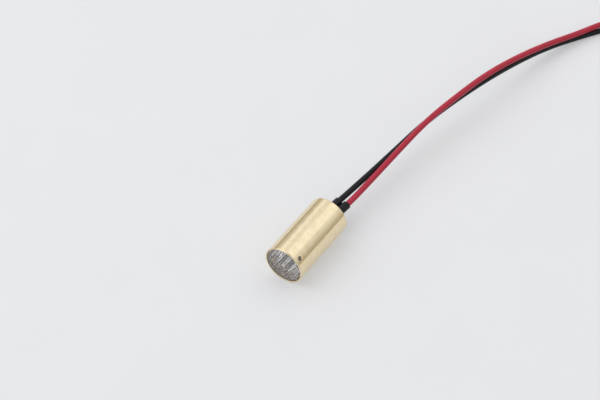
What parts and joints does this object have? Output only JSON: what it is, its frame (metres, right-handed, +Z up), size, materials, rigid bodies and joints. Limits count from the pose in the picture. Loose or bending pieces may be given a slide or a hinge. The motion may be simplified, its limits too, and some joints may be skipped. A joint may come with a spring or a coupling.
{
  "type": "laser diode module",
  "caption": "Small brass laser module with a ridged line lens in its front, a glue hole in its side and a red and a black lead leaving its back through short sleeves.",
  "frame": {"origin": "centre of the barrel's front rim, on the optical axis", "axes": "-Y is the way the beam leaves, +Y runs towards the leads, +X is to the right seen from the front, +Z is up with the barrel lying on a surface"},
  "size_m": [0.0323, 0.1177, 0.009],
  "materials": {
    "brass": "turned and polished",
    "clear_acrylic": "clear moulded",
    "lens_glass": "clear",
    "spring_steel": "drawn wire",
    "gold_plate": "plated",
    "nickel_plate": "plated",
    "white_ceramic": "fired",
    "tan_ceramic": "fired",
    "semiconductor": "polished",
    "board_laminate": "solder mask",
    "black_mould": "moulded",
    "black_resin": "cured resin",
    "solder": "reflowed",
    "shrink_sleeve": "shrunk tubing",
    "red_insulation": "extruded",
    "black_insulation": "extruded",
    "tinned_copper": "tinned"
  },
  "bodies": {
    "root": {"barrel": "brass", "line_lens": "clear_acrylic", "collimating_lens": "lens_glass", "diode_window": "lens_glass", "laser_pin_seal": "lens_glass", "monitor_pin_seal": "lens_glass", "focus_spring": "spring_steel", "diode_stem": "gold_plate", "laser_pin": "gold_plate", "monitor_pin": "gold_plate", "case_pin": "gold_plate", "diode_cap": "nickel_plate", "lens_cell": "nickel_plate", "diode_submount": "white_ceramic", "limit_resistor": "white_ceramic", "feedback_resistor": "white_ceramic", "filter_capacitor": "tan_ceramic", "laser_chip": "semiconductor", "monitor_photodiode": "semiconductor", "driver_board": "board_laminate", "drive_transistor": "black_mould", "sense_transistor": "black_mould", "rear_potting": "black_resin", "laser_pin_solder": "solder", "monitor_pin_solder": "solder", "case_pin_solder": "solder", "red_solder": "solder", "black_solder": "solder", "red_sleeve": "shrink_sleeve", "black_sleeve": "shrink_sleeve", "red_lead": "red_insulation", "black_lead": "black_insulation", "red_conductor": "tinned_copper", "black_conductor": "tinned_copper", "red_tinned_end": "tinned_copper", "black_tinned_end": "tinned_copper"}
  },
  "joints": []
}
